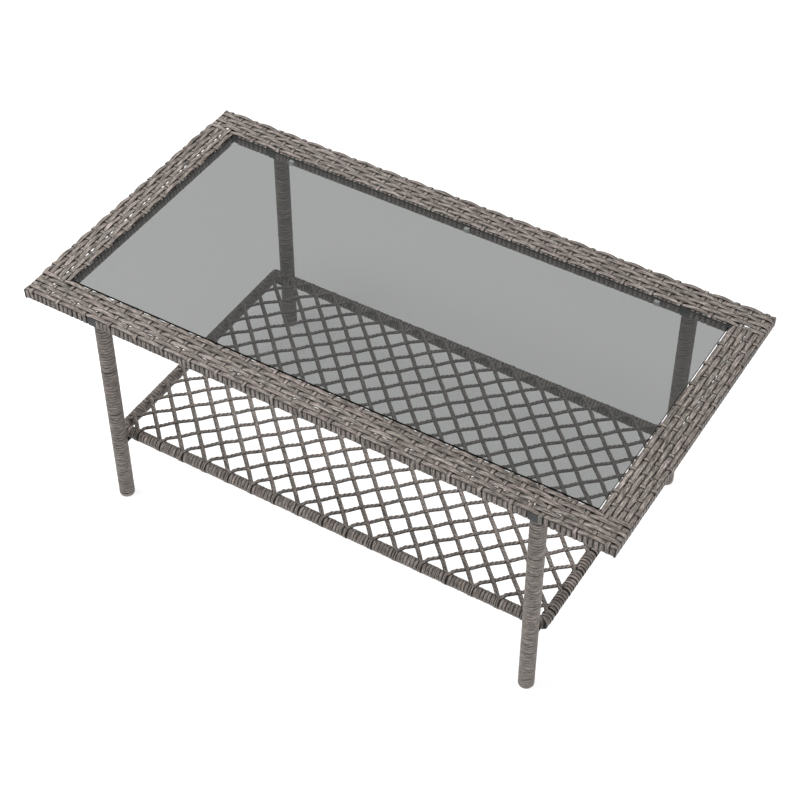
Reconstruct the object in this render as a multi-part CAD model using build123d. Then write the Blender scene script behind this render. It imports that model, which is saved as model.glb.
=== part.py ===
from build123d import *
import os

# A rectangular coffee table: a woven rim over two rectangular frames of square tube, a glass pane
# dropped into the rim, four wrapped round legs, and a lattice shelf between the legs.
# Millimetres. The origin is on the floor under the middle of the table, X is the long way, Z is up.

# Overall size
table_length = 1000.0
table_width = 532.0
table_height = 408.0
gap = 0.1                                 # clearance between a wrap and the tube inside it
past = 1.0                                # cutters run this far past the faces they open

# Rim
rim_width = 52.0
deck_thickness = 3.0
deck_clearance = 0.2                      # between the deck and the tubes under it
deck_edge_radius = 2.0
deck_corner_radius = 9.0
rim_tube_half = 7.5                       # half the side of the square tube
rim_tube_wall = 1.2
rim_tube_edge_radius = 2.0
rim_frame_corner_radius = 7.0             # in plan, where two outer tubes meet
rim_wrap_thickness = 1.5
bare_patch = 16.6                         # length of unwrapped tube above each leg
bare_tip = 1.0                            # wraps of the outer tubes end this far short of the corner
wrap_open_above = 6.0                     # rim wraps are open on top, this far over the tube's axis

# Legs
leg_x = 373.5
leg_y = 242.0
leg_tube_radius = 11.0
leg_tube_wall = 1.2
leg_wrap_thickness = 1.3
leg_wrap_start = 1.5
leg_wrap_bottom_round = 1.0
foot_flange = 3.0
foot_round = 1.4
foot_stem = 15.0
foot_flange_radius = 10.9

# Leg mounting: flat bar under both rim tubes, weld nut on it, stud and plug in the leg
plate_width = 16.0
plate_length = 46.0
plate_thickness = 3.0
stud_radius = 4.0
stud_hole_radius = 4.3
stud_below_plate = 12.0
plug_height = 8.0
weld_nut_flats = 13.0
weld_nut_height = 6.5

# Shelf
rail_x = 383.0
rail_y = 220.0
rail_z = 126.5
rail_tube_radius = 7.5
rail_tube_wall = 1.2
rail_wrap_thickness = 1.6

# Lattice: strands at 45 degrees, in two layers lying on top of the rails
lattice_cell = 44.0
strands_each_way = 27
strand_width = 6.5
strand_thickness = 3.2
layer_gap = 0.2
lattice_bottom = 135.8

# Shelf fastening: tab on each leg under the rail, bolt from below, rivet nut in the rail
tab_width = 16.0
tab_thickness = 3.0
tab_past_bolt = 8.0
bolt_radius = 3.0
bolt_hole_radius = 3.3
bolt_flats = 10.0
bolt_head_height = 4.0
bolt_length = 16.0
rivet_radius = 4.5
rivet_flange_radius = 5.5
rivet_height = 11.0
slot_clearance = 0.2

# Glass
pane_gap = 1.2                            # between the pane's edge and the inner wraps
pane_thickness = 5.0
pane_below_top = 0.2
pane_corner_radius = 2.0
pane_bevel = 0.6
peg_stations = (-330.0, 0.0, 330.0)
peg_radius = 2.5
peg_under_pane = 4.9                      # reach of a peg past the pane's edge
pad_past_peg = 1.0
pad_width = 8.0
pad_length = 6.0
pad_height = 7.2
pad_corner_radius = 1.0

# Worked out from the sizes above
half_length = table_length / 2
half_width = table_width / 2
deck_bottom = table_height - deck_thickness
rim_tube_z = deck_bottom - deck_clearance - rim_tube_half
rim_wrap_half = rim_tube_half + gap + rim_wrap_thickness
outer_x = half_length - gap - rim_wrap_half
outer_y = half_width - gap - rim_wrap_half
inner_x = half_length - rim_width + rim_wrap_half
inner_y = half_width - rim_width + rim_wrap_half
plate_top = rim_tube_z - rim_tube_half
plate_bottom = plate_top - plate_thickness
leg_bore_radius = leg_tube_radius - leg_tube_wall
leg_wrap_radius = leg_tube_radius + gap + leg_wrap_thickness
rail_wrap_radius = rail_tube_radius + gap + rail_wrap_thickness
tab_top = rail_z - rail_wrap_radius - gap
tab_bottom = tab_top - tab_thickness
pane_top = table_height - pane_below_top
pane_bottom = pane_top - pane_thickness
pane_half_length = half_length - rim_width - pane_gap
pane_half_width = half_width - rim_width - pane_gap
peg_z = pane_bottom - pad_height / 2

# Each side is built as the front one, along X, and turned about Z
side_turns = {"front": 0, "right": 90, "back": 180, "left": 270}
leg_places = {
    "front_left": (-leg_x, -leg_y),
    "front_right": (leg_x, -leg_y),
    "back_left": (-leg_x, leg_y),
    "back_right": (leg_x, leg_y),
}


def block(x0, x1, y0, y1, z0, z1):
    """A box between two corners."""
    middle = ((x0 + x1) / 2, (y0 + y1) / 2, (z0 + z1) / 2)
    return Pos(*middle) * Box(x1 - x0, y1 - y0, z1 - z0)


def post(radius, z0, z1, x=0.0, y=0.0):
    """An upright cylinder from z0 to z1."""
    return Pos(x, y, (z0 + z1) / 2) * Cylinder(radius, z1 - z0)


def hex_post(flats, z0, z1):
    """An upright hexagonal prism, two of its flats facing along Y."""
    outline = RegularPolygon(flats / 2, 6, major_radius=False)
    return Pos(0, 0, z0) * extrude(outline, z1 - z0)


def bar_along_x(radius, x0, x1, y, z):
    """A round bar along X."""
    return Pos((x0 + x1) / 2, y, z) * Rot(0, 90, 0) * Cylinder(radius, x1 - x0)


def bar_along_y(radius, y0, y1, x, z):
    """A round bar along Y."""
    return Pos(x, (y0 + y1) / 2, z) * Rot(90, 0, 0) * Cylinder(radius, y1 - y0)


def mitre_prism(run, offset, z):
    """The space of one front side between its two 45 degree corner cuts."""
    reach = 2 * rail_wrap_radius
    outline = Polygon(
        (-run - reach, -offset - reach),
        (run + reach, -offset - reach),
        (run - reach, -offset + reach),
        (-run + reach, -offset + reach),
        align=None,
    )
    return Pos(0, 0, z - reach) * extrude(outline, 2 * reach)


def mitred_pipe(run, offset, z, outer_radius, inner_radius):
    """A pipe along the front side whose axis meets its neighbours' at x = -run and run."""
    end = run + 2 * outer_radius
    pipe = bar_along_x(outer_radius, -end, end, -offset, z)
    pipe -= bar_along_x(inner_radius, -end - past, end + past, -offset, z)
    return pipe & mitre_prism(run, offset, z)


def square_bar(half, edge_radius, run, offset, z):
    """A square bar along the front side, past its corners, with rounded long edges."""
    end = run + 2 * half
    bar = block(-end, end, -offset - half, -offset + half, z - half, z + half)
    return fillet(bar.edges().filter_by(Axis.X), edge_radius)


def plan_prism(run, offset, half, corner_radius, z):
    """The space inside a frame's outer outline, which has rounded corners in plan."""
    outline = RectangleRounded(2 * (run + half), 2 * (offset + half), corner_radius)
    return Pos(0, 0, z - 2 * half) * extrude(outline, 4 * half)


def mitred_square_pipe(run, offset, z, outer_half, inner_half, edge_radius, corner_radius=0.0):
    """A square pipe along the front side, mitred like mitred_pipe."""
    wall = outer_half - inner_half
    pipe = square_bar(outer_half, edge_radius, run, offset, z)
    bore = square_bar(inner_half, edge_radius - wall, run, offset, z)
    if corner_radius:
        pipe &= plan_prism(run, offset, outer_half, corner_radius, z)
        bore &= plan_prism(run, offset, inner_half, corner_radius - wall, z)
    return (pipe - bore) & mitre_prism(run, offset, z)


def corner_of(side, corner_x, corner_y):
    """(run, offset) of a side built as the front one, from the corner of its rectangle."""
    return (corner_x, corner_y) if side in ("front", "back") else (corner_y, corner_x)


def rim_tube(side, corner_x, corner_y, pegged, corner_radius):
    """One tube of a rim frame. The long inner tubes are drilled for the pegs that carry the pane."""
    run, offset = corner_of(side, corner_x, corner_y)
    bore = rim_tube_half - rim_tube_wall
    sizes = (rim_tube_half, bore, rim_tube_edge_radius, corner_radius)
    tube = mitred_square_pipe(run, offset, rim_tube_z, *sizes)
    if pegged:
        for x in peg_stations:
            tube -= bar_along_y(peg_radius, -offset, -offset + 2 * rim_tube_half, x, peg_z)
    return tube


def rim_wrap(side, corner_x, corner_y, pegged, end_short):
    """The strand wound round a rim tube, open on top under the woven deck and bare above the legs."""
    run, offset = corner_of(side, corner_x, corner_y)
    wrap_edge_radius = rim_tube_edge_radius + gap + rim_wrap_thickness
    sizes = (rim_wrap_half, rim_tube_half + gap, wrap_edge_radius)
    wrap = mitred_square_pipe(run, offset, rim_tube_z, *sizes)
    reach = 2 * rim_wrap_half
    across = (-offset - reach, -offset + reach)
    top = rim_tube_z + reach
    wrap -= block(-run - reach, run + reach, *across, rim_tube_z + wrap_open_above, top)
    if end_short:
        for end in (-1, 1):
            corner = sorted((end * (run - end_short), end * (run + reach)))
            wrap -= block(*corner, *across, rim_tube_z - reach, top)
    if side in ("front", "back"):
        for x in (-leg_x, leg_x):
            patch = (x - bare_patch / 2, x + bare_patch / 2)
            wrap -= block(*patch, *across, rim_tube_z - reach, top)
    if pegged:
        for x in peg_stations:
            wrap -= bar_along_y(peg_radius + gap, -offset, -offset + reach, x, peg_z)
    return wrap


def rim_deck(side):
    """The woven top of one side. The long sides run the full length and the short ones lie between."""
    long_side = side in ("front", "back")
    half_run = half_length if long_side else half_width - rim_width - gap
    outside = half_width if long_side else half_length
    deck = block(-half_run, half_run, -outside, -outside + rim_width, deck_bottom, table_height)
    if long_side:
        corners = deck.edges().filter_by(Axis.Z).group_by(Axis.Y)[0]
        deck = fillet(corners, deck_corner_radius)
    upper_edges = deck.edges().filter_by(Axis.X).group_by(Axis.Z)[-1]
    return fillet(upper_edges, deck_edge_radius)


def mount_plate():
    """The flat bar welded under both rim tubes at a leg. The origin is on the leg's axis."""
    middle = leg_y - (outer_y + inner_y) / 2
    low = middle - plate_length / 2
    high = middle + plate_length / 2
    plate = block(-plate_width / 2, plate_width / 2, low, high, plate_bottom, plate_top)
    return plate - post(stud_hole_radius, plate_bottom - past, plate_top + past)


def weld_nut():
    """The nut on a mounting plate, between the two rim tubes."""
    top = plate_top + weld_nut_height
    return hex_post(weld_nut_flats, plate_top, top) - post(stud_radius, plate_top - past, top + past)


def leg_stud():
    """The threaded stud that stands out of a leg's plug into the weld nut."""
    return post(stud_radius, plate_bottom - stud_below_plate, plate_top + weld_nut_height)


def leg_plug():
    """The steel plug welded into the top of a leg tube."""
    plug = post(leg_bore_radius, plate_bottom - plug_height, plate_bottom)
    return plug - post(stud_radius, plate_bottom - plug_height - past, plate_bottom + past)


def leg_tube():
    """A leg's steel tube, standing on the foot's flange."""
    tube = post(leg_tube_radius, foot_flange, plate_bottom)
    return tube - post(leg_bore_radius, foot_flange - past, plate_bottom + past)


def leg_wrap():
    """The strand wound round a leg, with a slot for the shelf's tab on the side of +Y."""
    top = plate_bottom - 2 * gap
    wrap = post(leg_wrap_radius, leg_wrap_start, top)
    wrap = fillet(wrap.edges().group_by(Axis.Z)[0], leg_wrap_bottom_round)
    wrap -= post(leg_tube_radius + gap, leg_wrap_start - past, top + past)
    half_slot = tab_width / 2 + slot_clearance
    slot = (tab_bottom - slot_clearance, tab_top + slot_clearance)
    return wrap - block(-half_slot, half_slot, 0, 2 * leg_wrap_radius, *slot)


def foot_cap():
    """The plastic plug that a leg stands on."""
    flange = post(foot_flange_radius, 0, foot_flange)
    flange = fillet(flange.edges().group_by(Axis.Z)[0], foot_round)
    return flange + post(leg_bore_radius, foot_flange, foot_flange + foot_stem)


def shelf_tab():
    """The tab welded to a leg under the shelf rail, which lies towards +Y of the leg's axis."""
    bolt_y = leg_y - rail_y
    half = tab_width / 2
    tab = block(-half, half, 0, bolt_y + tab_past_bolt, tab_bottom, tab_top)
    tab -= post(leg_tube_radius, tab_bottom - past, tab_top + past)
    return tab - post(bolt_hole_radius, tab_bottom - past, tab_top + past, y=bolt_y)


def shelf_bolt():
    """The bolt that holds the shelf rail down on a tab, its head underneath."""
    head = hex_post(bolt_flats, tab_bottom - bolt_head_height, tab_bottom)
    bolt = head + post(bolt_radius, tab_bottom, tab_bottom + bolt_length)
    return Pos(0, leg_y - rail_y, 0) * bolt


def rivet_nut():
    """The threaded insert in the underside of the shelf rail."""
    tube_bottom = rail_z - rail_tube_radius
    nut = post(rivet_radius, tube_bottom, tube_bottom + rivet_height)
    nut += post(rivet_flange_radius, tab_top, tube_bottom)
    nut -= post(bolt_radius, tab_top - past, tube_bottom + rivet_height + past)
    return Pos(0, leg_y - rail_y, 0) * nut


def shelf_tube(side):
    """One steel rail of the shelf. The long rails are drilled from below for the rivet nuts."""
    run, offset = corner_of(side, rail_x, rail_y)
    tube = mitred_pipe(run, offset, rail_z, rail_tube_radius, rail_tube_radius - rail_tube_wall)
    if side in ("front", "back"):
        for x in (-leg_x, leg_x):
            tube -= post(rivet_radius, rail_z - 2 * rail_tube_radius, rail_z, x, -offset)
    return tube


def shelf_wrap(side):
    """The strand wound round one shelf rail."""
    run, offset = corner_of(side, rail_x, rail_y)
    wrap = mitred_pipe(run, offset, rail_z, rail_wrap_radius, rail_tube_radius + gap)
    if side in ("front", "back"):
        for x in (-leg_x, leg_x):
            hole = rivet_flange_radius + slot_clearance
            wrap -= post(hole, rail_z - 2 * rail_wrap_radius, rail_z, x, -offset)
    return wrap


def lattice_layer(slope, z0):
    """All the strands of one direction: slope 1 rises to the back along +X, and -1 along -X."""
    inside = block(-rail_x, rail_x, -rail_y, rail_y, z0, z0 + strand_thickness)
    long_enough = 4 * rail_x
    strands = []
    for step in range(strands_each_way):
        # a strand crosses the middle line y = 0 at this x
        x = (step - (strands_each_way - 1) / 2) * lattice_cell
        bar = Box(long_enough, strand_width, strand_thickness)
        bar = Pos(x, 0, z0 + strand_thickness / 2) * Rot(0, 0, slope * 45) * bar
        strands += (bar & inside).solids()
    return Compound(strands)


def glass_pane():
    """The tempered pane, with rounded corners and a small polished bevel."""
    pane = block(
        -pane_half_length, pane_half_length, -pane_half_width, pane_half_width, pane_bottom, pane_top
    )
    pane = fillet(pane.edges().filter_by(Axis.Z), pane_corner_radius)
    flats = pane.faces().group_by(Axis.Z)
    return chamfer(flats[0].edges() + flats[-1].edges(), pane_bevel)


def glass_pegs():
    """Steel pegs welded into the long inner tubes, under the pane's edge."""
    tip = pane_half_width - peg_under_pane
    front = [bar_along_y(peg_radius, -inner_y, -tip, x, peg_z) for x in peg_stations]
    back = [bar_along_y(peg_radius, tip, inner_y, x, peg_z) for x in peg_stations]
    return Compound(front + back)


def glass_pads():
    """The clear pad on the end of each peg, flat on top, where the pane rests."""
    tip = pane_half_width - peg_under_pane
    end = tip - pad_past_peg
    pad_bottom = pane_bottom - pad_height
    pad = block(-pad_width / 2, pad_width / 2, -end - pad_length, -end, pad_bottom, pane_bottom)
    pad = fillet(pad.edges().filter_by(Axis.Z), pad_corner_radius)
    pad -= bar_along_y(peg_radius, -end - 2 * pad_length, -tip, 0, peg_z)
    front = [Pos(x, 0, 0) * pad for x in peg_stations]
    back = [Rot(0, 0, 180) * one for one in front]
    return Compound(front + back)


def at_leg(piece, place):
    """A piece built on a leg's axis, with the middle of the table towards +Y, moved to that leg."""
    x, y = place
    turn = 0 if y < 0 else 180
    return Pos(x, y, 0) * Rot(0, 0, turn) * piece


def at_all_legs(piece):
    """Four equal pieces, one at each leg."""
    return Compound([at_leg(piece, place) for place in leg_places.values()])


def all_parts():
    """Every node's name and shape."""
    parts = {}
    for side, turn in side_turns.items():
        long_side = side in ("front", "back")
        built = {
            "outer_tube": rim_tube(side, outer_x, outer_y, False, rim_frame_corner_radius),
            "inner_tube": rim_tube(side, inner_x, inner_y, long_side, 0),
            "outer_wrap": rim_wrap(side, outer_x, outer_y, False, bare_tip),
            "inner_wrap": rim_wrap(side, inner_x, inner_y, long_side, 0),
            "rim_weave": rim_deck(side),
            "shelf_tube": shelf_tube(side),
            "shelf_wrap": shelf_wrap(side),
        }
        for name, shape in built.items():
            parts[f"{name}_{side}"] = Rot(0, 0, turn) * shape
    for corner, place in leg_places.items():
        parts[f"leg_mount_plate_{corner}"] = at_leg(mount_plate(), place)
        parts[f"leg_tube_{corner}"] = at_leg(leg_tube(), place)
        parts[f"leg_wrap_{corner}"] = at_leg(leg_wrap(), place)
        parts[f"foot_cap_{corner}"] = at_leg(foot_cap(), place)
    parts["weld_nuts"] = at_all_legs(weld_nut())
    parts["leg_studs"] = at_all_legs(leg_stud())
    parts["leg_plugs"] = at_all_legs(leg_plug())
    parts["shelf_tabs"] = at_all_legs(shelf_tab())
    parts["shelf_bolts"] = at_all_legs(shelf_bolt())
    parts["rivet_nuts"] = at_all_legs(rivet_nut())
    upper_layer = lattice_bottom + strand_thickness + layer_gap
    parts["lattice_strands_lower"] = lattice_layer(1, lattice_bottom)
    parts["lattice_strands_upper"] = lattice_layer(-1, upper_layer)
    parts["glass_pane"] = glass_pane()
    parts["glass_pegs"] = glass_pegs()
    parts["glass_pads"] = glass_pads()
    return parts


os.makedirs("parts", exist_ok=True)
for node, shape in all_parts().items():
    export_step(shape, f"parts/{node}.step")
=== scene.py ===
import math

import bpy
import numpy as np
from mathutils import Matrix, Vector


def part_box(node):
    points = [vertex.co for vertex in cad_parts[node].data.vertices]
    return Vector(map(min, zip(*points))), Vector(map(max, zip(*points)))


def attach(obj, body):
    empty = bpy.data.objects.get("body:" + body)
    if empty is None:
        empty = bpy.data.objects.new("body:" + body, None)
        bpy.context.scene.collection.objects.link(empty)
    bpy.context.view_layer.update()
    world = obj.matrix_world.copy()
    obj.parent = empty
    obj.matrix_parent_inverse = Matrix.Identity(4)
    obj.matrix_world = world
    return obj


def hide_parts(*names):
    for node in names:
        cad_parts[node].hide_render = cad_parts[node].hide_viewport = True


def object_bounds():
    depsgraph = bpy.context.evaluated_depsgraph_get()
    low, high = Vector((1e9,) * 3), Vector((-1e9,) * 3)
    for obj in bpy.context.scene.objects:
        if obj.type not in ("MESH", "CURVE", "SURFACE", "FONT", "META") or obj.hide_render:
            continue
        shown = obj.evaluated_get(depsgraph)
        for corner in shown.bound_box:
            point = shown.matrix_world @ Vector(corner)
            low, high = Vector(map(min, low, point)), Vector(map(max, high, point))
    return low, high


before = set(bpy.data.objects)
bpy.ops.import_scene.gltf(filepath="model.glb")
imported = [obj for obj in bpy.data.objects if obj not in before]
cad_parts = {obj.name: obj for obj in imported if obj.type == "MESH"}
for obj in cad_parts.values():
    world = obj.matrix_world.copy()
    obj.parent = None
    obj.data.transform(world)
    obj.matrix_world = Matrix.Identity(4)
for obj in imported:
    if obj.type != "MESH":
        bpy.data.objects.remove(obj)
cad_low, cad_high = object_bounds()

# Wicker coffee table: every strand of the rim, the legs, the shelf rails and the shelf lattice has a
# closed shape of its own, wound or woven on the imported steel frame. The strands of one side, leg,
# rail or layer are one mesh. Metres, in the frame of the CAD.
MM = 0.001
TURN = 2 * math.pi

# ------------------------------------------------------------------ places read from the CAD model


def centre(node):
    """Middle of a CAD node's box."""
    low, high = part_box(node)
    return (low + high) / 2


def size(node):
    """Lengths of a CAD node's box."""
    low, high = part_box(node)
    return high - low


HALF_X, HALF_Y = cad_high.x, cad_high.y
TUBE_R = size("outer_tube_front").z / 2
TUBE_Z = centre("outer_tube_front").z
OUTER_IN = HALF_Y + centre("outer_tube_front").y      # outer tube axis, from the rim's outer edge
INNER_IN = HALF_Y + centre("inner_tube_front").y      # inner tube axis, from the rim's outer edge
OPEN_X = -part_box("rim_weave_left")[1].x               # half of the opening for the pane
OPEN_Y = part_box("rim_weave_left")[1].y
LEG = centre("leg_tube_front_right")
LEG_R = size("leg_tube_front_right").x / 2
PATCH_HALF = size("leg_mount_plate_front_right").x / 2 + 0.3 * MM
RAIL_X = centre("shelf_tube_right").x
RAIL_Y = -centre("shelf_tube_front").y
RAIL_Z = centre("shelf_tube_front").z
RAIL_R = size("shelf_tube_front").z / 2
LATTICE_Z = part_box("lattice_strands_upper")[0].z + 1.0 * MM     # middle of the woven cords

# ------------------------------------------------------------------ strands

STRAND_W = 8.0 * MM
STRAND_T = 1.4 * MM
END_NARROWS, END_THINS = 0.8, 0.7    # of the last ring of a strand's cut end
REST_R = TUBE_R + 0.85 * MM          # middle of a strand that lies on a tube
WEAVE_R = TUBE_R + 1.6 * MM          # middle surface of the weave, over a tube
SIDES = ("front", "right", "back", "left")

# The rim's six wefts, from the opening outwards: distance from the outer edge, and spare width.
ROWS = [46.1 * MM, 37.2 * MM, 28.7 * MM, 20.3 * MM, 11.6 * MM, 3.6 * MM]
ROW_SPARE = [0.2 * MM, 0.9 * MM, 0.6 * MM, 0.6 * MM, 0.7 * MM, -0.3 * MM]
STAKE_X = 24.3 * MM                  # from one stake to the next, long sides
STAKE_Y = 24.4 * MM                  # and short sides
CELL = 44.0 * MM                     # from one lattice node to the next, both ways

# Sections of a strand, counter-clockwise, in half widths and half thicknesses.
FLAT = np.array([(1, 0), (0.86, 0.62), (0.48, 0.93), (0, 1), (-0.48, 0.93), (-0.86, 0.62),
                 (-1, 0), (-0.82, -0.72), (0, -0.9), (0.82, -0.72)])
ROUND = np.array([(1, 0), (0.93, 0.38), (0.72, 0.7), (0.38, 0.93), (0, 1), (-0.38, 0.93),
                  (-0.72, 0.7), (-0.93, 0.38), (-1, 0), (-0.7, -0.7), (0, -0.9), (0.7, -0.7)])
PLY = np.array([(1, 0), (0.74, 0.72), (0, 1), (-0.74, 0.72), (-1, 0), (-0.72, -0.7),
                (0, -0.95), (0.72, -0.7)])


def unit(vectors):
    """The same directions, with length 1."""
    return vectors / np.linalg.norm(vectors, axis=-1, keepdims=True)


def smooth(x):
    """From 0 to 1 with level ends."""
    x = np.clip(x, 0, 1)
    return x * x * (3 - 2 * x)


def on_side(side, u, outwards, z, half_x=0.0, half_y=0.0):
    """A point by one side of a rectangle: u along it, and outwards from it. A vector with no
    rectangle."""
    u, outwards, z = np.broadcast_arrays(u, outwards, z)
    x, y = {"front": (u, -half_y - outwards), "right": (half_x + outwards, u),
            "back": (-u, half_y + outwards), "left": (-half_x - outwards, -u)}[side]
    return np.stack([x, y, z], -1)


class Strands:
    """Flat plastic strands, gathered into one mesh. Each point keeps where it is on its strand:
    metres along it, from -1 to 1 across it, and the strand's own random number."""

    def __init__(self, section=FLAT):
        self.section = section
        self.points, self.quads, self.caps, self.lay = [], [], [], []
        self.count = 0

    def add(self, path, out, width, thick, closed=False):
        """One strand along path, with its flat side towards out."""
        path = np.asarray(path, float)
        n, m = len(path), len(self.section)
        step = np.roll(path, -1, 0) - np.roll(path, 1, 0) if closed else np.gradient(path, axis=0)
        along = unit(step)
        across = unit(np.cross(along, np.broadcast_to(out, path.shape)))
        up = np.cross(across, along)
        half_w = np.broadcast_to(np.asarray(width, float) / 2, (n,)).copy()
        half_t = np.broadcast_to(np.asarray(thick, float) / 2, (n,)).copy()
        if not closed:
            half_w[[0, -1]] *= END_NARROWS
            half_t[[0, -1]] *= END_THINS
        s, t = self.section[:, 0], self.section[:, 1]
        rings = (path[:, None, :] + across[:, None, :] * (half_w[:, None] * s)[:, :, None]
                 + up[:, None, :] * (half_t[:, None] * t)[:, :, None])
        i = np.arange(n if closed else n - 1)[:, None] * m
        j = np.arange(m)[None, :]
        k = (j + 1) % m
        after = (i + m) % (n * m)
        quads = np.stack([i + j, after + j, after + k, i + k], -1).reshape(-1, 4) + self.count
        length = np.concatenate([[0], np.cumsum(np.linalg.norm(np.diff(path, axis=0), axis=1))])
        lay = np.empty((n, m, 3))
        lay[:, :, 0], lay[:, :, 1], lay[:, :, 2] = length[:, None], s[None, :], rng.random()
        self.points.append(rings.reshape(-1, 3))
        self.lay.append(lay.reshape(-1, 3))
        self.quads.append(quads)
        if not closed:
            self.caps += [np.arange(m) + self.count, (n - 1) * m + np.arange(m)[::-1] + self.count]
        self.count += n * m

    def make(self, name, material, *nodes):
        """The mesh, riding on the frame in place of the CAD nodes."""
        points, quads = np.concatenate(self.points), np.concatenate(self.quads)
        caps = np.array(self.caps, int).reshape(-1, len(self.section))
        corners = np.concatenate([quads.ravel(), caps.ravel()])
        starts = np.concatenate([np.arange(len(quads)) * 4,
                                 quads.size + np.arange(len(caps)) * len(self.section)])
        mesh = bpy.data.meshes.new(name)
        mesh.vertices.add(len(points))
        mesh.vertices.foreach_set("co", points.ravel())
        mesh.loops.add(len(corners))
        mesh.loops.foreach_set("vertex_index", corners)
        mesh.polygons.add(len(starts))
        mesh.polygons.foreach_set("loop_start", starts)
        mesh.polygons.foreach_set("use_smooth", np.arange(len(starts)) < len(quads))
        lay = mesh.attributes.new("strand", "FLOAT_VECTOR", "POINT")
        lay.data.foreach_set("vector", np.concatenate(self.lay).ravel())
        mesh.materials.append(material)
        mesh.update(calc_edges=True)
        piece = bpy.data.objects.new(name, mesh)
        bpy.context.scene.collection.objects.link(piece)
        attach(piece, "frame")
        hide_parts(*nodes)
        return piece


rng = np.random.default_rng(20)


def wander(n, reach, size_mm, step_mm=2.1):
    """Smooth random drift along a strand: n values within about reach, changing over size_mm,
    for points about step_mm apart."""
    knots = max(4, int(n * step_mm / size_mm) + 2)
    raw = rng.normal(0, reach / 2, knots)
    x = np.linspace(0, knots - 1, n)
    i = np.minimum(x.astype(int), knots - 2)
    f = smooth(x - i)
    return raw[i] * (1 - f) + raw[i + 1] * f


# ------------------------------------------------------------------ materials


def node_material(name):
    """An empty node material, with its node and link makers."""
    material = bpy.data.materials.new(name)
    material.use_nodes = True
    tree = material.node_tree
    tree.nodes.clear()

    def node(kind, **settings):
        made = tree.nodes.new("ShaderNode" + kind)
        for key, value in settings.items():
            setattr(made, key, value)
        return made

    def link(a, b):
        tree.links.new(a, b)

    return material, node, link


def math_node(node, link, operation, a, b=None, c=None):
    """The result of one Math node, fed by sockets or numbers."""
    made = node("Math", operation=operation)
    for socket, value in zip(made.inputs, (a, b, c)):
        if isinstance(value, bpy.types.NodeSocket):
            link(value, socket)
        elif value is not None:
            socket.default_value = value
    return made.outputs[0]


def ramp(node, link, fac, stops):
    """Colours along a factor, from a list of (place, colour)."""
    made = node("ValToRGB")
    band = made.color_ramp
    while len(band.elements) < len(stops):
        band.elements.new(0.5)
    for element, (place, colour) in zip(band.elements, stops):
        element.position = place
        element.color = (*colour, 1)
    link(fac, made.inputs[0])
    return made.outputs[0]


def noise(node, link, vector, detail, scale=1, roughness=0.55):
    """A noise value from 0 to 1 at a vector."""
    made = node("TexNoise")
    made.inputs["Scale"].default_value = scale
    made.inputs["Detail"].default_value = detail
    made.inputs["Roughness"].default_value = roughness
    link(vector, made.inputs["Vector"])
    return made.outputs["Fac"]


def wicker_material():
    """Extruded plastic strand: streaks along it, tones that differ between strands, and painted
    shade that darkens each strand towards its edges.
    """
    material, node, link = node_material("wicker_strand")
    where = node("Attribute", attribute_name="strand")
    split = node("SeparateXYZ")
    link(where.outputs["Vector"], split.inputs[0])
    along, across, seed = split.outputs

    def stretched(per_metre, per_half_width, per_seed):
        """Where a point is on its strand, scaled each way for a noise."""
        made = node("CombineXYZ")
        link(math_node(node, link, "MULTIPLY", along, per_metre), made.inputs[0])
        link(math_node(node, link, "MULTIPLY", across, per_half_width), made.inputs[1])
        link(math_node(node, link, "MULTIPLY", seed, per_seed), made.inputs[2])
        return made.outputs[0]

    streak = noise(node, link, stretched(75, 2.6, 61), 3)
    fine = noise(node, link, stretched(230, 7.5, 83), 2)
    drift = noise(node, link, stretched(9, 0.2, 47), 1)

    tone = math_node(node, link, "MULTIPLY_ADD", drift, 1.1,
                     math_node(node, link, "MULTIPLY_ADD", seed, 0.5, -0.3))
    base = ramp(node, link, tone, [
        (0.10, (0.130, 0.116, 0.102)),
        (0.35, (0.186, 0.158, 0.143)),
        (0.55, (0.176, 0.161, 0.142)),
        (0.75, (0.214, 0.182, 0.168)),
        (0.95, (0.236, 0.212, 0.195))])
    shade = math_node(node, link, "ADD", math_node(node, link, "MULTIPLY", streak, 0.6),
                      math_node(node, link, "MULTIPLY", fine, 0.4))
    light = ramp(node, link, shade, [
        (0.36, (0.16, 0.15, 0.15)),
        (0.45, (0.62, 0.61, 0.60)),
        (0.52, (1.02, 1.0, 0.99)),
        (0.62, (2.1, 2.1, 2.12))])
    # Painted shade: each strand's colour darkens towards its edges, standing in for the shade
    # between neighbouring strands, in the gaps of the weave and in the valleys of the cords.
    edge = math_node(node, link, "ABSOLUTE", across)
    painted_edge_shade = ramp(node, link, edge, [(0.52, (1, 1, 1)), (0.93, (0.11, 0.10, 0.10))])

    def times(a, b):
        made = node("Mix", data_type="RGBA", blend_type="MULTIPLY")
        made.inputs["Factor"].default_value = 1
        link(a, made.inputs[6])
        link(b, made.inputs[7])
        return made.outputs[2]

    shader = node("BsdfPrincipled")
    link(times(times(base, light), painted_edge_shade), shader.inputs["Base Color"])
    link(math_node(node, link, "MULTIPLY_ADD", streak, 0.3, 0.38), shader.inputs["Roughness"])
    shader.inputs["Specular IOR Level"].default_value = 0.35
    bump = node("Bump")
    bump.inputs["Strength"].default_value = 0.8
    bump.inputs["Distance"].default_value = 0.35 * MM
    link(shade, bump.inputs["Height"])
    link(bump.outputs[0], shader.inputs["Normal"])
    out = node("OutputMaterial")
    link(shader.outputs[0], out.inputs[0])
    return material


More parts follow.
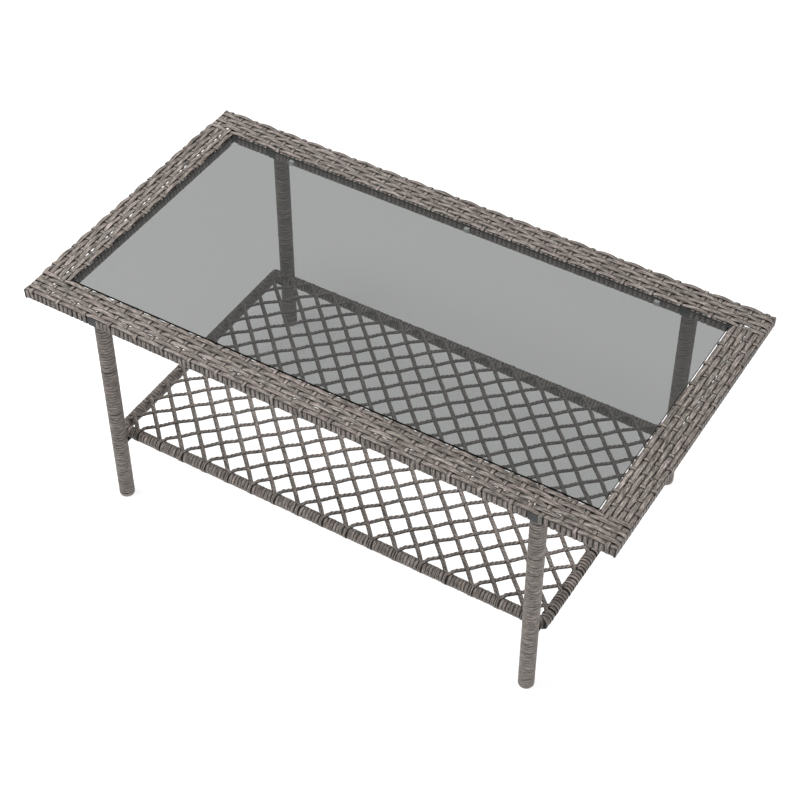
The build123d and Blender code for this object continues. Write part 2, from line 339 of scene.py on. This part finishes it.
def coated_material(name, dark, pale, rough, metallic=0.0, grain=900.0):
    """A coated or moulded surface: slow tone changes and a fine grain."""
    material, node, link = node_material(name)
    place = node("TexCoord").outputs["Object"]

    slow = noise(node, link, place, 3, scale=45, roughness=0.5)
    quick = noise(node, link, place, 2, scale=grain, roughness=0.5)
    shader = node("BsdfPrincipled")
    link(ramp(node, link, slow, [(0.3, dark), (0.7, pale)]), shader.inputs["Base Color"])
    link(math_node(node, link, "MULTIPLY_ADD", quick, 0.2, rough - 0.1), shader.inputs["Roughness"])
    shader.inputs["Metallic"].default_value = metallic
    bump = node("Bump")
    bump.inputs["Strength"].default_value = 0.5
    bump.inputs["Distance"].default_value = 0.03 * MM
    link(quick, bump.inputs["Height"])
    link(bump.outputs[0], shader.inputs["Normal"])
    out = node("OutputMaterial")
    link(shader.outputs[0], out.inputs[0])
    return material


def glass_material():
    """Grey tinted pane: faces that darken what is behind but let the lamps through, and dark
    ground edges."""
    material, node, link = node_material("tinted_glass")
    tint = node("BsdfTransparent")
    tint.inputs["Color"].default_value = (0.538, 0.543, 0.540, 1)
    gloss = node("BsdfGlossy")
    gloss.inputs["Roughness"].default_value = 0.02
    gloss.inputs["Color"].default_value = (0.9, 0.92, 0.92, 1)
    facing = node("LayerWeight").outputs["Facing"]
    grazing = math_node(node, link, "POWER", facing, 5.0)
    face = node("MixShader")
    link(math_node(node, link, "MULTIPLY_ADD", grazing, 0.93, 0.065), face.inputs[0])
    link(tint.outputs[0], face.inputs[1])
    link(gloss.outputs[0], face.inputs[2])
    lit_through = node("MixShader")
    link(node("LightPath").outputs["Is Camera Ray"], lit_through.inputs[0])
    link(node("BsdfTransparent").outputs[0], lit_through.inputs[1])
    link(face.outputs[0], lit_through.inputs[2])

    edge = node("BsdfPrincipled")
    edge.inputs["Base Color"].default_value = (0.003, 0.004, 0.004, 1)
    edge.inputs["Roughness"].default_value = 0.6
    edge.inputs["Specular IOR Level"].default_value = 0.15

    split = node("SeparateXYZ")
    link(node("NewGeometry").outputs["True Normal"], split.inputs[0])
    upright = math_node(node, link, "ABSOLUTE", split.outputs[2])
    on_edge = math_node(node, link, "LESS_THAN", upright, 0.5)
    both = node("MixShader")
    link(on_edge, both.inputs[0])
    link(lit_through.outputs[0], both.inputs[1])
    link(edge.outputs[0], both.inputs[2])
    out = node("OutputMaterial")
    link(both.outputs[0], out.inputs[0])
    return material


def silicone_material():
    """Clear silicone, slightly milky."""
    material, node, link = node_material("clear_silicone_pad")
    place = node("TexCoord").outputs["Object"]
    cloud = noise(node, link, place, 2, scale=220, roughness=0.5)
    milky = ramp(node, link, cloud, [(0.3, (0.62, 0.65, 0.65)), (0.7, (0.74, 0.76, 0.75))])
    shader = node("BsdfPrincipled")
    link(milky, shader.inputs["Base Color"])
    shader.inputs["Roughness"].default_value = 0.3
    shader.inputs["Alpha"].default_value = 0.6
    out = node("OutputMaterial")
    link(shader.outputs[0], out.inputs[0])
    return material


WICKER = wicker_material()
# Dark paint and painted shade: the frame steel gets a colour darker than its own paint, so that the
# tube seen in the slits beside the rail ties and in the gaps round the rim reads black, as in shade.
STEEL_PAINT_AND_SHADE = coated_material("painted_steel_and_painted_shade", (0.010, 0.012, 0.013), (0.018, 0.023, 0.025), 0.5)
ZINC = coated_material("zinc_plated_steel", (0.42, 0.42, 0.40), (0.60, 0.60, 0.57), 0.38, 1.0, 1600)
FOOT = coated_material("moulded_foot", (0.020, 0.021, 0.022), (0.032, 0.033, 0.034), 0.55)
GLASS = glass_material()
SILICONE = silicone_material()
FINISH = {"wicker": WICKER, "frame_steel": STEEL_PAINT_AND_SHADE, "fastener_steel": ZINC, "glass": GLASS,
          "foot_plastic": FOOT, "clear_silicone": SILICONE}

# ------------------------------------------------------------------ rim

SQUARE = 6                           # power of the rounded square that a strand makes round a tube
TAIL_TURN = math.radians(235)        # where the end of a strand stops, under a tube
SUNK = -0.75 * MM                    # from the weave's middle surface to a strand on the tube


def square_turn(turn):
    """A rounded square of half size 1: its point and outward normal at an angle from the top."""
    s, c = np.sin(turn), np.cos(turn)
    reach = (np.abs(s) ** SQUARE + np.abs(c) ** SQUARE) ** (-1 / SQUARE)
    power = SQUARE - 1
    normal = np.stack([np.sign(s) * np.abs(s) ** power, np.sign(c) * np.abs(c) ** power], -1)
    return np.stack([s, c], -1) * reach[..., None], unit(normal)


ANGLES = np.linspace(-TURN, TURN, 2881)
OUTLINE, FACING = square_turn(ANGLES)
WAY = np.concatenate([[0], np.cumsum(np.linalg.norm(np.diff(OUTLINE, axis=0), axis=1))])
WAY -= WAY[len(WAY) // 2]
BEND = np.unwrap(np.arctan2(FACING[:, 0], FACING[:, 1]))
PACE = WAY + BEND - BEND[len(BEND) // 2]


def turn_over(across):
    """The angle at which the top of the rounded square reaches a distance across."""
    reach = min(abs(across), 1.0)
    return math.copysign(math.atan2(reach, (1 - reach ** SQUARE) ** (1 / SQUARE)), across)


def even_turns(first, last, count):
    """Angles from first to last, closer together round the corners."""
    ends = np.interp([first, last], ANGLES, PACE)
    return np.interp(np.linspace(*ends, count), PACE, ANGLES)


CORNER = WEAVE_R * float(np.interp(TURN / 8, ANGLES, WAY))


def side_point(side, u, inwards, z):
    """A point of one side of the rim: u along it, inwards from its outer edge."""
    return on_side(side, u, -inwards, z, HALF_X, HALF_Y)


def side_vector(side, u, inwards, z):
    """A direction there."""
    return on_side(side, u, -inwards, z)


def row_surface(inwards):
    """Height of the weave's middle surface at one row, and its outward normal."""
    for axis, past_axis in ((OUTER_IN, inwards < OUTER_IN), (INNER_IN, inwards > INNER_IN)):
        if past_axis:
            point, normal = square_turn(np.array(turn_over((inwards - axis) / WEAVE_R)))
            return TUBE_Z + WEAVE_R * point[1], normal[0], normal[1]
    return TUBE_Z + WEAVE_R, 0.0, 1.0


WEFT_STEP_MM = 1.9                   # between the points of a weft
WEFT_MEAN, WEFT_SWING = 0.28, 1.08   # mm over the weave's middle surface, and up and down from it
WEFT_CROWN = 0.75                    # mm wider on top of a stake, and narrower under one
PINCH_AT, PINCH_OVER = 6.2 * MM, 2.4 * MM       # where a weft is pinched, from a stake's middle
PINCH = 1.1                          # mm narrower there
TUCK_FROM, TUCK_OVER, TUCK_DOWN = 11 * MM, 9 * MM, 1.0 * MM     # a short side's weft ends
TAIL_W = 8.2 * MM                    # a long side's weft where it bends round the tube
TAIL_STEP = 0.13                     # radians
TAIL_SINKS_OVER = 0.9                # radians


def over_stake(u, pitch, row):
    """1 where a weft passes over a stake, and -1 where it passes under one."""
    return np.cos(math.pi * u / pitch) * (1 if row % 2 else -1)


def weft_lift(u, pitch, row):
    """Height of a weft over the middle surface: over one stake, under the next."""
    c = over_stake(u, pitch, row)
    return (WEFT_MEAN + WEFT_SWING * c * (1.25 - 0.25 * c * c)) * MM


def weft_width(u, pitch, row):
    """A weft is widest on top of a stake, and pinched beside the next one, which it dives under."""
    c = over_stake(u, pitch, row)
    from_stake = np.abs((u / pitch + 0.5) % 1 - 0.5) * pitch
    pinch = np.exp(-((from_stake - PINCH_AT) / PINCH_OVER) ** 2) * np.where(c > 0, 0.4, 1.0)
    return STRAND_W + ROW_SPARE[row - 1] + (WEFT_CROWN * c - PINCH * pinch) * MM


def weave_wefts(strands, side, half_length, pitch, wrap_ends):
    """The six strands along one side. On a long side they end round the short side's outer tube."""
    for row, inwards in enumerate(ROWS, start=1):
        z, lean, rise = row_surface(inwards)
        first = turn_over(max(0.0, OUTER_IN - inwards) / WEAVE_R)
        reach = half_length - min(OUTER_IN, inwards) if wrap_ends else half_length
        n = int(2 * reach / (WEFT_STEP_MM * MM))
        u = np.linspace(-reach, reach, n)
        lift = weft_lift(u, pitch, row) + wander(n, 0.15 * MM, 30, WEFT_STEP_MM)
        drift = wander(n, 0.35 * MM, 40, WEFT_STEP_MM)
        width = weft_width(u, pitch, row) + wander(n, 0.3 * MM, 25, WEFT_STEP_MM)
        if not wrap_ends:
            tuck = smooth((np.abs(u) - (half_length - TUCK_FROM)) / TUCK_OVER)
            lift = lift * (1 - tuck) - TUCK_DOWN * tuck
        path = side_point(side, u, inwards + drift + lift * lean, z + lift * rise)
        out = side_vector(side, np.zeros(n), np.full(n, lean), np.full(n, rise))
        if wrap_ends:
            stop = math.pi - first if first > 0 else TAIL_TURN
            turn = even_turns(first, stop, int((stop - first) / TAIL_STEP))[1:]
            point, normal = square_turn(turn)
            sink = smooth((turn - first) / TAIL_SINKS_OVER)
            ends = []
            for sign, start in ((1, lift[-1]), (-1, lift[0])):
                rest = start * (1 - sink) + SUNK * sink
                along = half_length - OUTER_IN + WEAVE_R * point[:, 0] + rest * normal[:, 0]
                up = TUBE_Z + WEAVE_R * point[:, 1] + rest * normal[:, 1]
                ends.append((side_point(side, sign * along, inwards, up),
                             side_vector(side, sign * normal[:, 0], 0 * turn, normal[:, 1])))
            path = np.concatenate([ends[1][0][::-1], path, ends[0][0]])
            out = np.concatenate([ends[1][1][::-1], out, ends[0][1]])
            tail = np.full(len(turn), TAIL_W)
            width = np.concatenate([tail, width, tail])
        strands.add(path, out, width, STRAND_T)


def face_place(u, patches):
    """Where a strand at u lies round the tubes: it keeps clear of the bare patch at each leg."""
    half = PATCH_HALF + STRAND_W / 2
    known, moved = [], []
    for p in patches:
        near = STAKE_X * math.floor(p / STAKE_X)
        known += [near - STAKE_X, near, near + STAKE_X, near + 2 * STAKE_X]
        moved += [near - STAKE_X, p - half, p + half, near + 2 * STAKE_X]
    return float(np.interp(u, known, moved)) if known and known[0] < u < known[-1] else u


BEND_POINTS, DECK_POINTS = 38, 25    # of a stake round a tube, and across the weave
STAKE_SETTLES = 5.5 * MM             # past a tube's corner, where a stake lies on the tube again
OVER_WEFT = 0.7 * MM                 # height of a stake over a weft
OVER_OUTER, OVER_INNER = 1.3 * MM, 0.5 * MM     # and where it bends down over the last one
CUT_END, CUT_DOWN = 8.5 * MM, 1.2 * MM          # a stake near the corner ends past the inner tube
SHIFTS_OVER = math.radians(60)       # turn over which a stake moves aside for the bare patch


def stake_path(side, u, face_u, parity, half_length, inner_end):
    """One stake: round the outer tube, over and under the wefts, and round the inner tube."""
    span = INNER_IN - OUTER_IN
    over = [(row + parity) % 2 == 0 for row in range(6, 0, -1)]
    at = np.array([-CORNER - STAKE_SETTLES, -CORNER, *(d - OUTER_IN for d in reversed(ROWS)),
                   span + CORNER, span + CORNER + STAKE_SETTLES])
    height = np.array([SUNK, OVER_OUTER if over[0] else SUNK,
                       *(OVER_WEFT if o else SUNK for o in over),
                       OVER_INNER if over[-1] else SUNK, SUNK])

    mitre = (OUTER_IN - half_length + abs(u)) / WEAVE_R
    low_turn = TAIL_TURN if mitre <= -1 else math.pi - turn_over(mitre)
    outer = even_turns(low_turn, 0, BEND_POINTS)
    flat = np.linspace(0, span if inner_end else span + CUT_END, DECK_POINTS)[1:]
    inner = even_turns(0, TAIL_TURN, BEND_POINTS)[1:] if inner_end else np.empty(0)
    turn = np.concatenate([outer, 0 * flat, inner])
    level = np.concatenate([0 * outer, flat, span + 0 * inner])
    towards = np.where(np.arange(len(turn)) < len(outer), -1, 1)
    s = level + towards * WEAVE_R * np.interp(turn, ANGLES, WAY)
    i = np.clip(np.searchsorted(at, s) - 1, 0, len(at) - 2)
    f = smooth((s - at[i]) / (at[i + 1] - at[i]))
    lift = height[i] * (1 - f) + height[i + 1] * f
    if not inner_end:
        lift -= smooth((s - span) / CUT_END) * CUT_DOWN
    point, normal = square_turn(turn)
    inwards = OUTER_IN + level + towards * (WEAVE_R * point[:, 0] + lift * normal[:, 0])
    z = TUBE_Z + WEAVE_R * point[:, 1] + lift * normal[:, 1]
    path = side_point(side, u + (face_u - u) * smooth(turn / SHIFTS_OVER), inwards, z)
    return path, side_vector(side, 0 * s, towards * normal[:, 0], normal[:, 1])


def tube_ring(strands, side, u, inwards, from_corner, width):
    """One turn round a rim tube; near a corner only the part on this side of the mitre."""
    mitre = (inwards - from_corner) / REST_R
    if mitre <= -1:
        turn = even_turns(0, TURN, 45)[:-1]
    else:
        first = turn_over(mitre)
        turn = even_turns(first, math.pi - first, 8 + int(7 * (math.pi - 2 * first)))
    lean = rng.normal(0, 0.25 * MM)
    rest = rng.normal(0.03, 0.06) * MM
    point, normal = square_turn(turn)
    path = side_point(side, u + lean * np.cos(turn), inwards - REST_R * point[:, 0]
                      - rest * normal[:, 0], TUBE_Z + REST_R * point[:, 1] + rest * normal[:, 1])
    out = side_vector(side, 0 * turn, -normal[:, 0], normal[:, 1])
    strands.add(path, out, width, STRAND_T, closed=mitre <= -1)


STAKE_W, RING_W = 7.4 * MM, 7.95 * MM
WIDTH_SPREAD = 0.15 * MM


def weave_side(side):
    """All the strands of one side of the rim, as four pieces."""
    long_side = side in ("front", "back")
    half_length = HALF_X if long_side else HALF_Y
    pitch = STAKE_X if long_side else STAKE_Y
    opening = OPEN_X if long_side else OPEN_Y
    patches = [LEG.x] if long_side else []
    wefts, stakes, outer, inner = Strands(), Strands(), Strands(ROUND), Strands(ROUND)

    weave_wefts(wefts, side, half_length if long_side else opening + 9 * MM, pitch, long_side)

    last = 20 if long_side else 8    # stakes each side of the middle one
    for k in range(-last, last + 1):
        u = k * pitch
        face_u = math.copysign(face_place(abs(u), patches), u)
        path, out = stake_path(side, u, face_u, k, half_length, abs(u) < opening)
        stakes.add(path, out, STAKE_W + rng.normal(0, WIDTH_SPREAD), STRAND_T)

    end = half_length - 5 * MM if long_side else opening - 2 * MM
    for k in range(-last - 1, last + 2):
        for third in (1 / 3, 2 / 3):
            u = (k + third) * pitch
            if abs(u) > end or any(abs(abs(u) - p) < PATCH_HALF + 1 * MM for p in patches):
                continue
            face_u = math.copysign(face_place(abs(u), patches), u)
            narrow = 0.9 if abs(face_u - u) > 0.5 * MM else 1.0
            width = RING_W * narrow + rng.normal(0, WIDTH_SPREAD)
            tube_ring(outer, side, face_u, OUTER_IN, half_length - abs(u), width)
            if abs(u) < opening - 3 * MM:
                tube_ring(inner, side, face_u, INNER_IN, half_length, width)

    wefts.make(f"rim_wefts_{side}", WICKER, f"rim_weave_{side}")
    stakes.make(f"rim_stakes_{side}", WICKER, f"rim_weave_{side}")
    outer.make(f"outer_winding_{side}", WICKER, f"outer_wrap_{side}")
    inner.make(f"inner_winding_{side}", WICKER, f"inner_wrap_{side}")


for rim_side in SIDES:
    weave_side(rim_side)

# ------------------------------------------------------------------ legs


LEG_PITCH, LEG_STRAND_W, LEG_STRAND_T = 5.7 * MM, 6.0 * MM, 1.75 * MM
LEG_REST = LEG_R + 0.8 * MM
LEG_LAP = math.radians(7)            # tilt of each turn on the one below
POINTS_PER_TURN = 34
END_OVER = 4 * MM                    # the first and last turns lie level


def wind_leg(name):
    """A strand wound up one leg, each turn lapped a little over the one below."""
    middle = centre(f"leg_tube_{name}")
    low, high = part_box(f"leg_wrap_{name}")
    first, last = low.z + LEG_STRAND_W / 2, high.z - LEG_STRAND_W / 2
    turns = (last - first) / LEG_PITCH + 2
    n = int(turns * POINTS_PER_TURN)
    turn = np.linspace(0, turns, n)
    z = np.clip(first + LEG_PITCH * (turn - 1), first, last)
    inside = np.minimum(smooth((z - first) / END_OVER), smooth((last - z) / END_OVER))
    z = z + wander(n, 0.9 * MM, 45) * inside
    radius = LEG_REST + wander(n, 0.14 * MM, 18)
    lap = LEG_LAP * smooth((z - first) / LEG_PITCH)
    angle = turn * TURN + rng.random() * TURN
    path = np.stack([middle.x + radius * np.cos(angle), middle.y + radius * np.sin(angle), z], -1)
    out = np.stack([np.cos(angle) * np.cos(lap), np.sin(angle) * np.cos(lap), np.sin(lap)], -1)
    strands = Strands(ROUND)
    strands.add(path, out, LEG_STRAND_W + wander(n, 0.5 * MM, 30), LEG_STRAND_T)
    strands.make(f"leg_winding_{name}", WICKER, f"leg_wrap_{name}")


for leg_name in ("front_left", "front_right", "back_left", "back_right"):
    wind_leg(leg_name)

# ------------------------------------------------------------------ shelf rails

RAIL_REST = RAIL_R + 0.85 * MM
TIE_W = 3.0 * MM                     # one of the two plies tied round a long rail
TIE_LIFT = 0.7 * MM                  # the ties stand a little proud of the winding
SLIT = 1.5 * MM                      # beside the tie, on the upper half only
SHORT_GAP = 1.9 * MM                 # at each node of a short rail, all round
TURN_PITCH, TURN_T = 6.1 * MM, 1.7 * MM         # turns of the winding
TURN_LAP, TURN_TILT = math.radians(9), 0.4 * MM
CORNER_TURNS = ((math.radians(16), 6.6 * MM), (math.radians(32), 6.2 * MM))     # slant, width
CORNER_T = 1.35 * MM
PAST_CORNER = 2.5 * MM               # where the straight winding ends, past the inside corner


def rail_point(side, u, reach, z):
    """A point near one shelf rail: u along it, reach outwards from its axis."""
    return on_side(side, u, reach, z, RAIL_X, RAIL_Y)


def wind_rail(side):
    """The winding of one rail. At every node of the lattice, a long rail has two tie turns, and a
    short rail has a gap."""
    long_side = side in ("front", "back")
    half = RAIL_X if long_side else RAIL_Y
    nodes = (np.arange(-8, 9) if long_side else np.arange(-5, 5) + 0.5) * CELL
    angle = np.linspace(0, TURN, 35)[:-1]
    on_top = smooth(0.5 + 1.6 * np.sin(angle))
    strands = Strands(ROUND)

    def one_turn(at, width, lap=0.0, tilt=0.0, lift=0.0):
        """A closed turn round the rail."""
        radius = RAIL_REST + lift + rng.normal(0.08, 0.12) * MM
        sway = tilt * np.cos(angle) + rng.normal(0, 0.4 * MM) * np.cos(angle + rng.random() * TURN)
        path = rail_point(side, at + sway, radius * np.cos(angle), RAIL_Z + radius * np.sin(angle))
        out = on_side(side, math.sin(lap), np.cos(angle) * math.cos(lap),
                      np.sin(angle) * math.cos(lap))
        strands.add(path, out, width, TURN_T, closed=True)

    def corner_turn(sign, slant, width):
        """A turn at the rail's end, slanted towards the mitre."""
        reach = RAIL_REST * np.cos(angle)
        u = sign * (half - RAIL_REST + (reach + RAIL_REST) * math.tan(slant))
        path = rail_point(side, u, reach, RAIL_Z + RAIL_REST * np.sin(angle))
        out = on_side(side, 0, np.cos(angle), np.sin(angle))
        outwards = (reach / RAIL_REST + 1) / 2
        strands.add(path, out, width * (0.45 + 0.55 * outwards), CORNER_T, closed=True)

    edge = TIE_W + SLIT if long_side else SHORT_GAP / 2
    ends = [-(half - RAIL_REST) - PAST_CORNER, half - RAIL_REST + PAST_CORNER]
    for a, b in zip([ends[0], *(nodes + edge)], [*(nodes - edge), ends[1]]):
        count = max(1, round((b - a) / TURN_PITCH))
        pitch = (b - a) / count
        for k in range(count):
            one_turn(a + (k + 0.5) * pitch, pitch * 1.05 + rng.normal(0, 0.2 * MM),
                     TURN_LAP, TURN_TILT)
    for at in nodes if long_side else []:
        for ply in (-0.5, 0.5):
            wide = TIE_W + SLIT * (1 - on_top)
            one_turn(at + ply * TIE_W + ply * SLIT * (1 - on_top), wide, lift=TIE_LIFT)
    for sign in (-1, 1):
        for slant, width in CORNER_TURNS:
            corner_turn(sign, slant, width)
    strands.make(f"rail_winding_{side}", WICKER, f"shelf_wrap_{side}")


for rail_side in SIDES:
    wind_rail(rail_side)

# ------------------------------------------------------------------ shelf lattice

PLY_W, PLY_T = 3.5 * MM, 2.2 * MM
PLY_APART, PLY_RISE = 1.65 * MM, 0.75 * MM
CORE_W, CORE_T = 6.9 * MM, 1.4 * MM  # flat strand under the two plies
CORE_DOWN = 0.8 * MM
LAY = 15 * MM                        # one turn of the two plies round each other
WAVE = 0.9 * MM                      # up and down, over and under the cords that cross
CORD_STEP = 2.2 * MM
CORD_END_Z = RAIL_Z + RAIL_REST + 0.3 * MM      # sunk into the winding on top of the rail
CORD_PAST = 0.7 * MM                 # how far a cord goes past the rail's axis
RAIL_NEAR = 11 * MM                  # where a cord starts down to the rail
CORDS_EACH_WAY = 27
UP = np.array([0.0, 0.0, 1.0])


def over_shelf(crossing, run):
    """How far along a line through (crossing, 0) the rails' axes are, in front and behind."""
    x_span = sorted(((-RAIL_X - crossing) / run.x, (RAIL_X - crossing) / run.x))
    y_span = sorted((-RAIL_Y / run.y, RAIL_Y / run.y))
    return max(x_span[0], y_span[0]), min(x_span[1], y_span[1])


def lattice_cord(strands, slope, crossing):
    """A twisted cord, from rail to rail, over and under those that cross it."""
    run = Vector((slope, 1)).normalized()
    first, last = over_shelf(crossing, run)
    n = int((last - first + 2 * CORD_PAST) / CORD_STEP)
    s = np.linspace(first - CORD_PAST, last + CORD_PAST, n)
    x, y = crossing + s * run.x, s * run.y
    weave = slope * np.cos(TURN * x / CELL)
    weave = weave * (1.5 - 0.5 * weave * weave)
    to_rail = np.minimum(s - first, last - s) * run.y
    near = smooth(1 - to_rail / RAIL_NEAR)
    z = (LATTICE_Z + WAVE * weave) * (1 - near) + CORD_END_Z * near
    z += wander(n, 0.12 * MM, 60)
    sway = wander(n, 0.3 * MM, 90) * (1 - near)
    level = np.array([run.y, -run.x, 0.0])
    twist = TURN * s / LAY + rng.random() * TURN + wander(n, 1.6, 30)
    aside = np.cos(twist)
    aside = aside * (1.5 - 0.5 * aside * aside)
    for ply in (-1, 1):
        apart = ply * (PLY_APART + wander(n, 0.2 * MM, 12)) * aside + sway
        rise = ply * PLY_RISE * np.sin(twist)
        path = np.stack([x, y, z + rise], -1) + apart[:, None] * level
        strands.add(path, UP, PLY_W, PLY_T)
    core = np.stack([x, y, z - CORE_DOWN], -1) + sway[:, None] * level
    strands.add(core[::3], UP, CORE_W, CORE_T)


for layer, direction in (("lower", 1), ("upper", -1)):
    cords = Strands(PLY)
    for number in range(CORDS_EACH_WAY):
        lattice_cord(cords, direction, (number - CORDS_EACH_WAY // 2) * CELL)
    cords.make(f"lattice_cords_{layer}", WICKER, f"lattice_strands_{layer}")

# ------------------------------------------------------------------ CAD nodes that stay

for node_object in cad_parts.values():
    for place in node_object.material_slots:
        place.material = FINISH[place.material.name.split(".")[0]]

# ------------------------------------------------------------------ floor, light and camera


def pale_floor():
    """A plain white floor, with a glow of its own so that shadows on it stay faint."""
    mesh = bpy.data.meshes.new("floor")
    reach = 12.0
    mesh.from_pydata([(-reach, -reach, 0), (reach, -reach, 0), (reach, reach, 0),
                      (-reach, reach, 0)], [], [(0, 1, 2, 3)])
    material, node, link = node_material("floor_white")
    shader = node("BsdfPrincipled")
    shader.inputs["Base Color"].default_value = (0.36, 0.36, 0.36, 1)
    shader.inputs["Roughness"].default_value = 1.0
    shader.inputs["Specular IOR Level"].default_value = 0.0
    shader.inputs["Emission Color"].default_value = (1, 1, 1, 1)
    shader.inputs["Emission Strength"].default_value = 0.80
    out = node("OutputMaterial")
    link(shader.outputs[0], out.inputs[0])
    mesh.materials.append(material)
    floor = bpy.data.objects.new("floor", mesh)
    bpy.context.scene.collection.objects.link(floor)


def soft_light():
    """A white studio, with a key light over the left front and a fill from the right."""
    world = bpy.data.worlds.new("studio")
    world.use_nodes = True
    world.node_tree.nodes["Background"].inputs["Color"].default_value = (1, 1, 1, 1)
    world.node_tree.nodes["Background"].inputs["Strength"].default_value = 0.52
    bpy.context.scene.world = world
    for name, place, power, across in (("key", (-1.3, -0.6, 3.2), 112, 1.4),
                                       ("fill", (2.4, -1.0, 1.6), 20, 2.0)):
        lamp = bpy.data.lights.new(name, "AREA")
        lamp.energy, lamp.size = power, across
        holder = bpy.data.objects.new(name, lamp)
        holder.location = place
        towards = Vector((0, 0, 0.3)) - holder.location
        holder.rotation_euler = towards.to_track_quat("-Z", "Y").to_euler()
        bpy.context.scene.collection.objects.link(holder)


def photo_camera():
    """Camera at the photograph's viewing angle, found by fitting the table's corners."""
    yaw, pitch, roll = -0.54487, 0.78271, 0.00097
    forward = Vector((math.sin(yaw) * math.cos(pitch), math.cos(yaw) * math.cos(pitch),
                      -math.sin(pitch)))
    right = Vector((math.cos(yaw), -math.sin(yaw), 0))
    above = right.cross(forward)
    x = math.cos(roll) * right + math.sin(roll) * above
    y = math.cos(roll) * above - math.sin(roll) * right
    data = bpy.data.cameras.new("camera")
    data.sensor_width, data.lens = 36.0, 84.2127
    camera = bpy.data.objects.new("camera", data)
    camera.matrix_world = Matrix.Translation((1.08941, -1.78924, 2.28438)) @ Matrix(
        (x, y, -forward)).transposed().to_4x4()
    bpy.context.scene.collection.objects.link(camera)
    bpy.context.scene.camera = camera


pale_floor()
soft_light()
photo_camera()
bpy.context.scene.view_settings.view_transform = "Standard"
